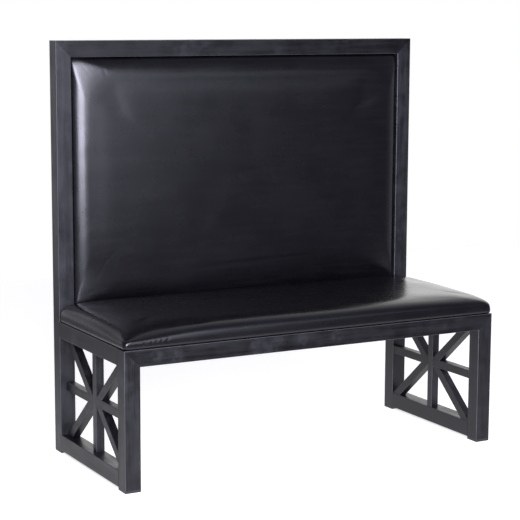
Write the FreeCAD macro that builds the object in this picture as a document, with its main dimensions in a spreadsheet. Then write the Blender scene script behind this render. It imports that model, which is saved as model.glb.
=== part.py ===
import FreeCAD, Part
import math
import os
import re
import Sketcher

# A free-standing restaurant booth bench: a welded frame of square tube with
# mitred front and back frames, two side frames that each hold an eight-rayed
# lattice, an upholstered seat pad and an upholstered back pad let into the
# back frame. Millimetres. +Y points to the rear and +Z up. The origin is the
# middle of the footprint, on the floor. Left and right are as seen by someone
# who stands in front of the bench: left is -X and right is +X.

SIZES = {
    # The whole bench
    "overall_width": 1219.2,
    "overall_height": 1219.2,
    "overall_depth": 520.0,
    "seat_frame_height": 398.0,
    # Square tube of the frame
    "tube_size": 48.0,
    "tube_wall": 2.0,
    "tube_corner": 2.5,
    "tube_inner_corner": 1.0,
    # Square tube of the lattice and the seat bearers
    "bar_size": 25.4,
    "bar_wall": 1.5,
    "bar_corner": 1.6,
    "bar_inner_corner": 0.6,
    "bar_setback": 2.5,
    "bearer_spacing": 406.0,
    # Feet: a square head under the tube and a ribbed plug inside it
    "glide_height": 8.0,
    "glide_round": 2.5,
    "plug_depth": 24.0,
    "plug_gap": 0.2,
    "plug_rib_reach": 2.2,
    "plug_rib_thickness": 1.4,
    "plug_first_rib": 4.0,
    "plug_rib_run": 14.0,
    "plug_wall": 3.0,
    "plug_floor": 4.0,
    # Upholstery cover and the gap that keeps the foam clear of it
    "cover_thickness": 1.2,
    "foam_gap": 0.3,
    # Seat pad
    "seat_thickness": 60.0,
    "seat_margin": 0.5,
    "seat_rear_gap": 0.3,
    "seat_crown_run": 150.0,
    "seat_corner_draw": 130.0,
    "seat_cover_return": 40.0,
    "seat_opening_corner": 6.0,
    "seat_board_thickness": 18.0,
    "seat_board_inset": 9.0,
    "seat_board_corner": 8.0,
    "dust_cover_thickness": 0.6,
    "dust_cover_gap": 0.3,
    # Back pad and the outer panel behind it
    "back_thickness": 47.0,
    "back_margin": 0.6,
    "back_crown_run": 120.0,
    "back_corner_draw": 110.0,
    "back_cover_return": 25.0,
    "back_opening_corner": 6.0,
    "back_board_thickness": 12.0,
    "back_board_inset": 5.0,
    "back_board_corner": 6.0,
    "panel_inset": 3.0,
    "panel_thickness": 5.0,
    "panel_margin": 1.5,
    "panel_corner": 3.0,
    "panel_round": 1.5,
    "grip_pad_size": 24.0,
    "grip_pad_thickness": 4.0,
    # Fixing tabs welded inside the frame
    "tab_thickness": 3.0,
    "tab_width": 60.0,
    "seat_tab_reach": 60.0,
    "seat_tab_spacing": 400.0,
    "seat_bolt_reach": 50.0,
    "back_tab_reach": 50.0,
    "back_bolt_reach": 38.0,
    "back_tab_spacing": 560.0,
    # From the top and the bottom of the back opening to the tabs next to them
    "back_tab_rise": 126.6,
    "back_bolt_side": 15.0,
    # Bolts and tee nuts
    "bolt_radius": 3.0,
    "bolt_head_radius": 5.25,
    "bolt_head_height": 3.3,
    "bolt_hole_radius": 3.3,
    "seat_bolt_length": 20.0,
    "back_bolt_length": 14.0,
    "nut_flange_radius": 9.5,
    "nut_flange_thickness": 1.5,
    "nut_barrel_radius": 3.9,
    "nut_bore_radius": 3.1,
    "nut_gap": 0.1,
    "seat_nut_length": 12.0,
    "back_nut_length": 9.0,
    # How far cutting shapes run past the solid that they cut
    "cut_overrun": 5.0,
}

# Sections of the seat pad from its underside to its crown: rise, draw-in of
# the ends, draw-in of the front, and corner rounding.
SEAT_SECTION_SHARES = (
    (0.000, 0.033, 0.033, 0.070),
    (0.050, 0.012, 0.012, 0.085),
    (0.133, 0.001, 0.001, 0.100),
    (0.300, 0.000, 0.000, 0.150),
    (0.500, 0.010, 0.010, 0.280),
    (0.667, 0.037, 0.037, 0.420),
    (0.800, 0.087, 0.087, 0.570),
    (0.900, 0.173, 0.173, 0.740),
    (0.958, 0.307, 0.307, 0.900),
    (0.988, 0.567, 0.567, 0.950),
    (1.000, 1.000, 1.000, 0.540),
)
# The seat is pressed against the back, so its rear edge is drawn in less.
SEAT_REAR_DRAW_SHARE = 0.25

# Sections of the back pad from its board side to its crown: rise, draw-in of
# the ends and the top, draw-in of the bottom, and corner rounding. The bottom
# is drawn in more, to stay behind the seat pad.
BACK_SECTION_SHARES = (
    (0.000, 0.012, 0.012, 0.073),
    (0.050, 0.003, 0.003, 0.082),
    (0.200, 0.000, 0.000, 0.091),
    (0.425, 0.002, 0.002, 0.110),
    (0.500, 0.013, 0.025, 0.130),
    (0.596, 0.042, 0.083, 0.180),
    (0.680, 0.083, 0.217, 0.260),
    (0.779, 0.150, 0.467, 0.400),
    (0.868, 0.233, 0.600, 0.560),
    (0.932, 0.317, 0.767, 0.730),
    (0.977, 0.417, 0.958, 0.880),
    (0.994, 0.542, 1.167, 0.950),
    (1.000, 1.000, 1.583, 0.900),
)
EVEN_DRAW_SHARE = 1.0

# Counts and the closeness at which two heights are taken as one.
PLUG_RIBS = 3
SEAT_BOLT_COLUMNS = (-1, 0, 1)
SAME_HEIGHT = 0.000001

# The two tube sections: outer size, wall, outer corner, inner corner.
FRAME_TUBE = ("tube_size", "tube_wall", "tube_corner", "tube_inner_corner")
LATTICE_TUBE = ("bar_size", "bar_wall", "bar_corner", "bar_inner_corner")

# Directions in which a tube or a bolt can run: the axis about which its own
# +Z is turned, and the turn.
UP = ((1, 0, 0), "0 deg")
ALONG_X = ((0, 1, 0), "90 deg")
ALONG_Y = ((1, 0, 0), "-90 deg")
TO_FRONT = ((1, 0, 0), "90 deg")
SIDES = (("left", -1), ("right", 1))

doc = FreeCAD.newDocument("booth_bench")
sheet = doc.addObject("Spreadsheet::Sheet", "Sizes")
for row, (alias, size) in enumerate(SIZES.items(), start=1):
    sheet.set(f"A{row}", alias)
    sheet.set(f"B{row}", str(size))
    sheet.setAlias(f"B{row}", alias)
doc.recompute()

sub_parts = []


def cells(expression):
    """Write each size in an expression as the sheet's cell of that name."""
    return re.sub(r"\b([a-z]+(?:_[a-z]+)+)\b", r"Sizes.\1", expression)


def measure(expression):
    """Work out an expression of sizes as a plain number."""
    value = sheet.evalExpression(cells(expression))
    return float(getattr(value, "Value", value))


def bind(thing, path, expression):
    """Tie a property to an expression of sizes."""
    thing.setExpression(path, cells(expression))


def bind_place(thing, place, direction=UP):
    """Tie a thing's place and turn to expressions of sizes."""
    axis, turn = direction
    thing.Placement = FreeCAD.Placement(
        FreeCAD.Vector(*[measure(value) for value in place]),
        FreeCAD.Rotation(FreeCAD.Vector(*axis), measure(turn)),
    )
    for name, value in zip("xyz", place):
        bind(thing, f"Placement.Base.{name}", value)
    if measure(turn) != 0:
        bind(thing, "Placement.Rotation.Angle", turn)


def new_body(label):
    """Start a sub-part as a body of its own."""
    body = doc.addObject("PartDesign::Body", label)
    body.Label = label
    return body


def new_sketch(body, name, role, height="0"):
    """Put a sketch on one of the body's own planes, raised along its normal."""
    sketch = body.newObject("Sketcher::SketchObject", f"{body.Name}_{name}")
    planes = [item for item in body.Origin.OriginFeatures if item.Role == role]
    sketch.AttachmentSupport = [(planes[0], "")]
    sketch.MapMode = "FlatFace"
    if height != "0":
        bind(sketch, "AttachmentOffset.Base.z", height)
    return sketch


def dimension(sketch, name, kind, references, expression):
    """Add a named dimension to a sketch and tie it to an expression."""
    index = sketch.addConstraint(Sketcher.Constraint(kind, *references, measure(expression)))
    sketch.renameConstraint(index, name)
    bind(sketch, f"Constraints.{name}", expression)


def rounded_rectangle(sketch, word, width, depth, corner):
    """Draw a rectangle with round corners about the sketch's origin."""
    x = measure(width) / 2
    y = measure(depth) / 2
    r = measure(corner)
    first = sketch.GeometryCount
    turns = ((x - r, r - y, -1), (x - r, y - r, 0), (r - x, y - r, 1), (r - x, r - y, 2))
    starts = ((r - x, -y), (x, r - y), (x - r, y), (-x, y - r))
    ends = ((x - r, -y), (x, y - r), (r - x, y), (-x, r - y))
    for start, end, (centre_x, centre_y, quarter) in zip(starts, ends, turns):
        sketch.addGeometry(Part.LineSegment(FreeCAD.Vector(*start, 0), FreeCAD.Vector(*end, 0)))
        circle = Part.Circle(FreeCAD.Vector(centre_x, centre_y, 0), FreeCAD.Vector(0, 0, 1), r)
        sketch.addGeometry(Part.ArcOfCircle(circle, quarter * math.pi / 2, (quarter + 1) * math.pi / 2))
    bottom, right, top, left = (first, first + 2, first + 4, first + 6)
    corners = (first + 1, first + 3, first + 5, first + 7)
    rules = []
    for line, arc, following in zip((bottom, right, top, left), corners, (right, top, left, bottom)):
        rules.append(Sketcher.Constraint("Tangent", line, 2, arc, 1))
        rules.append(Sketcher.Constraint("Tangent", arc, 2, following, 1))
    rules.append(Sketcher.Constraint("Horizontal", bottom))
    rules.append(Sketcher.Constraint("Horizontal", top))
    rules.append(Sketcher.Constraint("Vertical", right))
    rules.append(Sketcher.Constraint("Vertical", left))
    for arc in corners[1:]:
        rules.append(Sketcher.Constraint("Equal", corners[0], arc))
    rules.append(Sketcher.Constraint("Symmetric", corners[3], 3, corners[1], 3, -1, 1))
    sketch.addConstraint(rules)
    dimension(sketch, f"{word}_width", "DistanceX", (left, 2, right, 1), width)
    dimension(sketch, f"{word}_depth", "DistanceY", (bottom, 1, top, 1), depth)
    dimension(sketch, f"{word}_corner", "Radius", (corners[0],), corner)


def pad(body, name, sketch, length):
    """Raise a sketch into a solid along its normal."""
    feature = body.newObject("PartDesign::Pad", f"{body.Name}_{name}")
    feature.Profile = sketch
    bind(feature, "Length", length)
    return feature


def pocket(body, name, sketch, length, both_ways=True):
    """Cut a sketch into the body, half the length to each side of it."""
    feature = body.newObject("PartDesign::Pocket", f"{body.Name}_{name}")
    feature.Profile = sketch
    if both_ways:
        feature.SideType = "Symmetric"
    bind(feature, "Length", length)
    return feature


def edges_at(feature, height):
    """Name the feature's edges that lie level at a height."""
    names = []
    for number, edge in enumerate(feature.Shape.Edges, start=1):
        box = edge.BoundBox
        if abs(box.ZMin - height) < SAME_HEIGHT and abs(box.ZMax - height) < SAME_HEIGHT:
            names.append(f"Edge{number}")
    return names


def tube(label, section, length, place, direction):
    """Make a square tube that starts at a place and runs along its own +Z."""
    size, wall, corner, inner_corner = section
    body = new_body(label)
    sketch = new_sketch(body, "section", "XY_Plane")
    rounded_rectangle(sketch, "outer", size, size, corner)
    inner = f"{size} - 2 * {wall}"
    rounded_rectangle(sketch, "inner", inner, inner, inner_corner)
    pad(body, "run", sketch, length)
    bind_place(body, place, direction)
    sub_parts.append(body)
    return body


def slant_end(body, name, role, size, slope, short_side, height, end):
    """Cut a tube's end on a slope.

    The cut keeps the full length on one side of the tube and takes
    size * slope off it on the other, short_side. end is +1 for the far end
    of the tube and -1 for its start.
    """
    leg = f"({size} + 2 * cut_overrun)"
    corner_x = f"{short_side} * ({size} / 2 + cut_overrun)"
    corner_y = f"{height} + {end} * cut_overrun * {slope}"
    x = measure(corner_x)
    y = measure(corner_y)
    far_x = x - short_side * measure(leg)
    far_y = y - end * measure(f"{leg} * {slope}")
    sketch = new_sketch(body, name, role)
    level = sketch.addGeometry(Part.LineSegment(FreeCAD.Vector(far_x, y, 0), FreeCAD.Vector(x, y, 0)))
    upright = sketch.addGeometry(Part.LineSegment(FreeCAD.Vector(x, y, 0), FreeCAD.Vector(x, far_y, 0)))
    slant = sketch.addGeometry(Part.LineSegment(FreeCAD.Vector(x, far_y, 0), FreeCAD.Vector(far_x, y, 0)))
    sketch.addConstraint(
        [
            Sketcher.Constraint("Coincident", level, 2, upright, 1),
            Sketcher.Constraint("Coincident", upright, 2, slant, 1),
            Sketcher.Constraint("Coincident", slant, 2, level, 1),
            Sketcher.Constraint("Horizontal", level),
            Sketcher.Constraint("Vertical", upright),
        ]
    )
    dimension(sketch, "corner_x", "DistanceX", (-1, 1, level, 2), corner_x)
    dimension(sketch, "corner_y", "DistanceY", (-1, 1, level, 2), corner_y)
    dimension(sketch, "level_leg", "DistanceX", (level, 1, level, 2), f"{short_side} * {leg}")
    dimension(sketch, "upright_leg", "DistanceY", (upright, 1, upright, 2), f"-1 * {end} * {leg} * {slope}")
    pocket(body, f"{name}_cut", sketch, f"2 * {size}")


def block(name, size, corner):
    """Make a plain block from its size and its lowest corner."""
    feature = doc.addObject("Part::Box", name)
    for path, value in zip(("Length", "Width", "Height"), size):
        bind(feature, path, value)
    bind_place(feature, corner)
    return feature


def rod(name, radius, length, place, direction):
    """Make a round rod that starts at a place and runs along its own +Z."""
    feature = doc.addObject("Part::Cylinder", name)
    bind(feature, "Radius", radius)
    bind(feature, "Height", length)
    bind_place(feature, place, direction)
    return feature


def joined(name, members):
    """Join overlapping pieces into one solid."""
    feature = doc.addObject("Part::MultiFuse", name)
    feature.Shapes = members
    return feature


def gathered(name, members):
    """Hold separate pieces together without joining them."""
    feature = doc.addObject("Part::Compound", name)
    feature.Links = members
    return feature


def cut_from(name, base, tool):
    """Cut one thing out of another."""
    feature = doc.addObject("Part::Cut", name)
    feature.Base = base
    feature.Tool = tool
    return feature


def keep(label, feature):
    """Give a finished sub-part its label and list it."""
    feature.Label = label
    sub_parts.append(feature)


# Heights and half sizes that several pieces share
HALF_WIDTH = "overall_width / 2"
HALF_DEPTH = "overall_depth / 2"
HALF_TUBE = "tube_size / 2"
REAR_LINE = f"({HALF_DEPTH} - {HALF_TUBE})"
FRONT_LINE = f"-1 * ({HALF_DEPTH} - {HALF_TUBE})"
SEAT_RAIL_LINE = f"(seat_frame_height - {HALF_TUBE})"
LOW_RAIL_LINE = f"(glide_height + {HALF_TUBE})"
PANEL_MIDDLE = "(seat_frame_height + glide_height) / 2"
SQUARE_MITRE = "1"


def upright_frame(post_names, rail_name, line_y, top):
    """Build two posts and the rail that is mitred to their tops."""
    for (name, sign) in zip(post_names, (-1, 1)):
        place = (f"{sign} * ({HALF_WIDTH} - {HALF_TUBE})", line_y, "glide_height")
        length = f"{top} - glide_height"
        post = tube(name, FRAME_TUBE, length, place, UP)
        slant_end(post, "mitre", "XZ_Plane", "tube_size", SQUARE_MITRE, -sign, length, 1)
    place = (f"-1 * {HALF_WIDTH}", line_y, f"{top} - {HALF_TUBE}")
    rail = tube(rail_name, FRAME_TUBE, "overall_width", place, ALONG_X)
    slant_end(rail, "start_mitre", "XZ_Plane", "tube_size", SQUARE_MITRE, 1, "0", -1)
    slant_end(rail, "far_mitre", "XZ_Plane", "tube_size", SQUARE_MITRE, 1, "overall_width", 1)


def build_frame():
    """Build the back frame, the front frame and the rails that join them."""
    upright_frame(
        ("back_upright_left", "back_upright_right"), "back_top_rail", REAR_LINE, "overall_height"
    )
    upright_frame(
        ("front_leg_left", "front_leg_right"), "front_seat_rail", FRONT_LINE, "seat_frame_height"
    )
    place = (f"tube_size - {HALF_WIDTH}", REAR_LINE, SEAT_RAIL_LINE)
    tube("rear_seat_rail", FRAME_TUBE, "overall_width - 2 * tube_size", place, ALONG_X)
    run = "overall_depth - 2 * tube_size"
    start_y = f"tube_size - {HALF_DEPTH}"
    for side, sign in SIDES:
        line_x = f"{sign} * ({HALF_WIDTH} - {HALF_TUBE})"
        tube(f"seat_side_rail_{side}", FRAME_TUBE, run, (line_x, start_y, SEAT_RAIL_LINE), ALONG_Y)
        tube(f"lower_side_rail_{side}", FRAME_TUBE, run, (line_x, start_y, LOW_RAIL_LINE), ALONG_Y)
        bearer_place = (f"{sign} * bearer_spacing / 2", start_y, "seat_frame_height - bar_size / 2")
        tube(f"seat_bearer_{side}", LATTICE_TUBE, run, bearer_place, ALONG_Y)


# The lattice. Each diagonal is a parallelogram seen from the side: one of its
# edges starts in the crotch of the post and the arm, the other ends in the
# corner of the side frame, and both of its ends are cut level.
DIAGONAL_RISE = "((seat_frame_height - glide_height) / 2 - tube_size - bar_size / 2)"
DIAGONAL_RUN = f"({HALF_DEPTH} - tube_size - bar_size / 2)"
DIAGONAL_ANGLE = (
    f"(atan2({DIAGONAL_RISE}; {DIAGONAL_RUN})"
    f" + asin(bar_size / hypot({DIAGONAL_RISE}; {DIAGONAL_RUN})))"
)
DIAGONAL_SLOPE = f"(1 / tan({DIAGONAL_ANGLE}))"
DIAGONALS = (
    ("diagonal_rear_top", 1, 1),
    ("diagonal_rear_bottom", 1, -1),
    ("diagonal_front_top", -1, 1),
    ("diagonal_front_bottom", -1, -1),
)


def build_diagonal(label, line_x, to_rear, to_top):
    """Build one diagonal from the hub to its corner, with both ends level."""
    length = f"{DIAGONAL_RISE} / sin({DIAGONAL_ANGLE}) + bar_size * {DIAGONAL_SLOPE}"
    place = (
        line_x,
        f"{to_rear} * bar_size / 2 * (1 + sin({DIAGONAL_ANGLE}))",
        f"{PANEL_MIDDLE} + {to_top} * bar_size / 2 * (1 - cos({DIAGONAL_ANGLE}))",
    )
    turn = f"{-to_rear} * (90 deg - {to_top} * {DIAGONAL_ANGLE})"
    body = tube(label, LATTICE_TUBE, length, place, ((1, 0, 0), turn))
    arm_side = to_rear * to_top
    slant_end(body, "hub_end", "YZ_Plane", "bar_size", DIAGONAL_SLOPE, arm_side, "0", -1)
    slant_end(body, "rail_end", "YZ_Plane", "bar_size", DIAGONAL_SLOPE, -arm_side, length, 1)


def build_lattices():
    """Build the eight-rayed lattice of each side frame."""
    for side, sign in SIDES:
        line_x = f"{sign} * ({HALF_WIDTH} - tube_size + bar_setback + bar_size / 2)"
        post_start = (line_x, "0", "glide_height + tube_size")
        post_length = "seat_frame_height - glide_height - 2 * tube_size"
        tube(f"lattice_{side}_post", LATTICE_TUBE, post_length, post_start, UP)
        arm_length = f"{HALF_DEPTH} - tube_size - bar_size / 2"
        front_start = (line_x, f"tube_size - {HALF_DEPTH}", PANEL_MIDDLE)
        tube(f"lattice_{side}_arm_front", LATTICE_TUBE, arm_length, front_start, ALONG_Y)
        rear_start = (line_x, "bar_size / 2", PANEL_MIDDLE)
        tube(f"lattice_{side}_arm_rear", LATTICE_TUBE, arm_length, rear_start, ALONG_Y)
        for name, to_rear, to_top in DIAGONALS:
            build_diagonal(f"lattice_{side}_{name}", line_x, to_rear, to_top)


def build_glide(label, place):
    """Build a foot: a square head with a rounded sole and a ribbed hollow plug."""
    body = new_body(label)
    head_sketch = new_sketch(body, "head_outline", "XY_Plane")
    rounded_rectangle(head_sketch, "head", "tube_size", "tube_size", "tube_corner")
    head = pad(body, "head", head_sketch, "glide_height")
    doc.recompute()
    sole = body.newObject("PartDesign::Fillet", f"{body.Name}_sole")
    sole.Base = (head, edges_at(head, 0))
    bind(sole, "Radius", "glide_round")
    inside = "tube_size - 2 * tube_wall - 2 * plug_gap"
    core = f"{inside} - 2 * plug_rib_reach"
    core_sketch = new_sketch(body, "core_outline", "XY_Plane", "glide_height")
    rounded_rectangle(core_sketch, "core", core, core, "tube_inner_corner")
    pad(body, "core", core_sketch, "plug_depth")
    hollow = f"{core} - 2 * plug_wall"
    hollow_sketch = new_sketch(body, "hollow_outline", "XY_Plane", "glide_height + plug_depth")
    rounded_rectangle(hollow_sketch, "hollow", hollow, hollow, "tube_inner_corner")
    pocket(body, "hollow", hollow_sketch, "plug_depth - plug_floor", both_ways=False)
    rib_sketch = new_sketch(body, "rib_outline", "XY_Plane", "glide_height + plug_first_rib")
    rounded_rectangle(rib_sketch, "outer", inside, inside, "tube_inner_corner")
    rounded_rectangle(rib_sketch, "inner", f"{core} - plug_wall", f"{core} - plug_wall", "tube_inner_corner")
    rib = pad(body, "rib", rib_sketch, "plug_rib_thickness")
    ribs = body.newObject("PartDesign::LinearPattern", f"{body.Name}_ribs")
    ribs.Originals = [rib]
    up_axis = [item for item in body.Origin.OriginFeatures if item.Role == "Z_Axis"][0]
    ribs.Direction = (up_axis, [""])
    bind(ribs, "Length", "plug_rib_run")
    ribs.Occurrences = PLUG_RIBS
    body.Tip = ribs
    bind_place(body, place)
    sub_parts.append(body)


def build_glides():
    """Build the four feet under the legs and the uprights."""
    for side, sign in SIDES:
        line_x = f"{sign} * ({HALF_WIDTH} - {HALF_TUBE})"
        build_glide(f"foot_glide_front_{side}", (line_x, FRONT_LINE, "0"))
        build_glide(f"foot_glide_rear_{side}", (line_x, REAR_LINE, "0"))


def pad_loft(body, name, kind, plan, thickness, skin, shares, draws, rear_share):
    """Loft an upholstered form through level rounded rectangles.

    skin is how far the form lies inside the outside of the cover. rear_share
    is how much of the ends' draw-in the far side of the plan takes: the rear
    of the seat, or the top of the back.
    """
    width, depth = plan
    run, draw = draws
    sketches = []
    for number, (rise_share, inset_share, near_share, corner_share) in enumerate(shares):
        inset = f"({run} * {inset_share} + {skin})"
        near_inset = f"({run} * {near_share} + {skin})"
        rear_inset = f"({run} * {inset_share * rear_share} + {skin})"
        height = f"{skin} + ({thickness} - 2 * {skin}) * {rise_share}"
        sketch = new_sketch(body, f"{name}_section_{number}", "XY_Plane", height)
        bind(sketch, "AttachmentOffset.Base.y", f"({near_inset} - {rear_inset}) / 2")
        rounded_rectangle(
            sketch, "plan", f"{width} - 2 * {inset}", f"{depth} - {near_inset} - {rear_inset}",
            f"{draw} * {corner_share}",
        )
        sketches.append(sketch)
    feature = body.newObject(f"PartDesign::{kind}", f"{body.Name}_{name}")
    feature.Profile = (sketches[0], [""])
    feature.Sections = [(sketch, [""]) for sketch in sketches[1:]]
    feature.Ruled = True
    return feature


def build_cover(label, form, cover_return, opening_corner, place, direction):
    """Build a cover: a thin shell that turns in under the board's edge."""
    plan, thickness, shares, draws, rear_share = form
    body = new_body(label)
    pad_loft(body, "outside", "AdditiveLoft", plan, thickness, "0", shares, draws, rear_share)
    pad_loft(body, "inside", "SubtractiveLoft", plan, thickness, "cover_thickness", shares, draws, rear_share)
    sketch = new_sketch(body, "opening_outline", "XY_Plane")
    width, depth = plan
    rounded_rectangle(
        sketch, "opening", f"{width} - 2 * {cover_return}", f"{depth} - 2 * {cover_return}", opening_corner
    )
    pocket(body, "opening", sketch, "3 * cover_thickness")
    bind_place(body, place, direction)
    sub_parts.append(body)


def build_foam(label, form, board, place, direction):
    """Build the foam: the inside of the cover less the board that it wraps."""
    plan, thickness, shares, draws, rear_share = form
    board_plan, board_corner, board_thickness = board
    body = new_body(label)
    skin = "(cover_thickness + foam_gap)"
    pad_loft(body, "crown", "AdditiveLoft", plan, thickness, skin, shares, draws, rear_share)
    sketch = new_sketch(body, "board_outline", "XY_Plane")
    rounded_rectangle(sketch, "board", *board_plan, board_corner)
    pocket(body, "board_space", sketch, f"2 * (cover_thickness + {board_thickness})")
    bind_place(body, place, direction)
    sub_parts.append(body)


def build_board(label, board, nut_spots, place, direction, nut_length):
    """Build a plywood board with stepped holes for its tee nuts.

    Also builds the tee nuts, in the board's own directions.
    """
    board_plan, board_corner, board_thickness = board
    body = new_body(f"{label}_blank")
    sketch = new_sketch(body, "outline", "XY_Plane", "cover_thickness")
    rounded_rectangle(sketch, "board", *board_plan, board_corner)
    pad(body, "ply", sketch, board_thickness)
    bind_place(body, place, direction)
    holes = []
    nuts = []
    for number, spot in enumerate(nut_spots):
        through = f"{board_thickness} + 2 * cut_overrun"
        start = along(spot, direction, "cover_thickness - cut_overrun")
        holes.append(rod(f"{label}_hole_{number}", "nut_barrel_radius + nut_gap", through, start, direction))
        face = along(spot, direction, f"cover_thickness + {board_thickness} - nut_flange_thickness")
        sink = "nut_flange_thickness + cut_overrun"
        holes.append(rod(f"{label}_sink_{number}", "nut_flange_radius + nut_gap", sink, face, direction))
        flange = rod(f"{label}_flange_{number}", "nut_flange_radius", "nut_flange_thickness", face, direction)
        foot = along(spot, direction, f"cover_thickness + {board_thickness} - {nut_length}")
        barrel = rod(f"{label}_barrel_{number}", "nut_barrel_radius", nut_length, foot, direction)
        mouth = along(spot, direction, f"cover_thickness + {board_thickness} - {nut_length} - cut_overrun")
        bore_length = f"{nut_length} + 2 * cut_overrun"
        bore = rod(f"{label}_bore_{number}", "nut_bore_radius", bore_length, mouth, direction)
        nut = joined(f"{label}_nut_body_{number}", [flange, barrel])
        nuts.append(cut_from(f"{label}_nut_{number}", nut, bore))
    keep(label, cut_from(f"{label}_drilled", body, gathered(f"{label}_holes", holes)))
    keep(label.replace("board", "tee_nuts"), gathered(f"{label}_nuts", nuts))


def along(spot, direction, height):
    """Give the place at a height above a spot, in the direction of travel."""
    x, y, z = spot
    if direction is UP:
        return (x, y, f"{z} + {height}")
    return (x, f"{y} - ({height})", z)


def build_bolts(label, spots, direction, length):
    """Build one bolt at each spot: a low head below it and a shank above."""
    bolts = []
    for number, spot in enumerate(spots):
        head_start = along(spot, direction, "-1 * (tab_thickness + bolt_head_height)")
        head = rod(f"{label}_head_{number}", "bolt_head_radius", "bolt_head_height", head_start, direction)
        shank_start = along(spot, direction, "-1 * (tab_thickness + bolt_head_height / 2)")
        shank_length = f"{length} + bolt_head_height / 2"
        shank = rod(f"{label}_shank_{number}", "bolt_radius", shank_length, shank_start, direction)
        bolts.append(joined(f"{label}_bolt_{number}", [head, shank]))
    keep(label, gathered(f"{label}_all", bolts))


# The seat pad: it covers the frame from its front face to the uprights.
SEAT_PLAN = (
    "overall_width - 2 * seat_margin",
    "overall_depth - tube_size - seat_margin - seat_rear_gap",
)
SEAT_PLACE = ("0", "(seat_margin - tube_size - seat_rear_gap) / 2", "seat_frame_height")
SEAT_FORM = (
    SEAT_PLAN, "seat_thickness", SEAT_SECTION_SHARES, ("seat_crown_run", "seat_corner_draw"),
    SEAT_REAR_DRAW_SHARE,
)
SEAT_BOARD = (
    tuple(f"{extent} - 2 * seat_board_inset" for extent in SEAT_PLAN),
    "seat_board_corner", "seat_board_thickness",
)
SEAT_BOLT_SPOTS = tuple(
    (
        f"{column} * seat_tab_spacing",
        f"{row} * ({HALF_DEPTH} - tube_size - seat_bolt_reach)",
        "seat_frame_height",
    )
    for row in (-1, 1)
    for column in SEAT_BOLT_COLUMNS
)

# The back pad: it fills the opening of the back frame, its board to the rear.
BACK_PLAN = (
    "overall_width - 2 * tube_size - 2 * back_margin",
    "overall_height - tube_size - seat_frame_height - 2 * back_margin",
)
BACK_MIDDLE = "(overall_height - tube_size + seat_frame_height) / 2"
BACK_SEAT_Y = f"({HALF_DEPTH} - panel_inset - panel_thickness - grip_pad_thickness - tab_thickness)"
BACK_PLACE = ("0", BACK_SEAT_Y, BACK_MIDDLE)
BACK_FORM = (
    BACK_PLAN, "back_thickness", BACK_SECTION_SHARES, ("back_crown_run", "back_corner_draw"),
    EVEN_DRAW_SHARE,
)
BACK_BOARD = (
    tuple(f"{extent} - 2 * back_board_inset" for extent in BACK_PLAN),
    "back_board_corner", "back_board_thickness",
)
BACK_HALF_OPENING = "(overall_height - tube_size - seat_frame_height) / 2"


def back_tab_frames():
    """List where each back tab is welded: its root, and its way inwards."""
    frames = []
    for side in (-1, 1):
        for step in (-1, 0, 1):
            rise = f"{step} * ({BACK_HALF_OPENING} - back_tab_rise)"
            root = (f"{side} * ({HALF_WIDTH} - tube_size)", f"{BACK_MIDDLE} + {rise}")
            frames.append((root, (-side, 0)))
    for level in (-1, 1):
        for step in (-1, 1):
            root = (f"{step} * back_tab_spacing / 2", f"{BACK_MIDDLE} + {level} * {BACK_HALF_OPENING}")
            frames.append((root, (0, -level)))
    return frames


def back_tab_spot(frame, inwards, sideways):
    """Give the x and z of a spot on a tab, measured from its welded root."""
    (root_x, root_z), (way_x, way_z) = frame
    spot_x = f"{root_x} + {way_x} * {inwards} + {abs(way_z)} * {sideways}"
    spot_z = f"{root_z} + {way_z} * {inwards} + {abs(way_x)} * {sideways}"
    return spot_x, spot_z


def build_seat_tabs():
    """Build the tabs that carry the seat board, flush with the rails' tops."""
    tabs = []
    holes = []
    for number, (x, y, z) in enumerate(SEAT_BOLT_SPOTS):
        row = -1 if number < len(SEAT_BOLT_COLUMNS) else 1
        root = f"{row} * ({HALF_DEPTH} - tube_size)"
        low_y = root if row < 0 else f"{root} - seat_tab_reach"
        corner = (f"{x} - tab_width / 2", low_y, f"{z} - tab_thickness")
        tabs.append(block(f"seat_tab_{number}", ("tab_width", "seat_tab_reach", "tab_thickness"), corner))
        start = (x, y, f"{z} - tab_thickness - cut_overrun")
        depth = "tab_thickness + 2 * cut_overrun"
        holes.append(rod(f"seat_tab_hole_{number}", "bolt_hole_radius", depth, start, UP))
    drilled = [cut_from(f"seat_tab_drilled_{n}", tab, hole) for n, (tab, hole) in enumerate(zip(tabs, holes))]
    keep("seat_fixing_tabs", gathered("seat_tabs_all", drilled))


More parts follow.
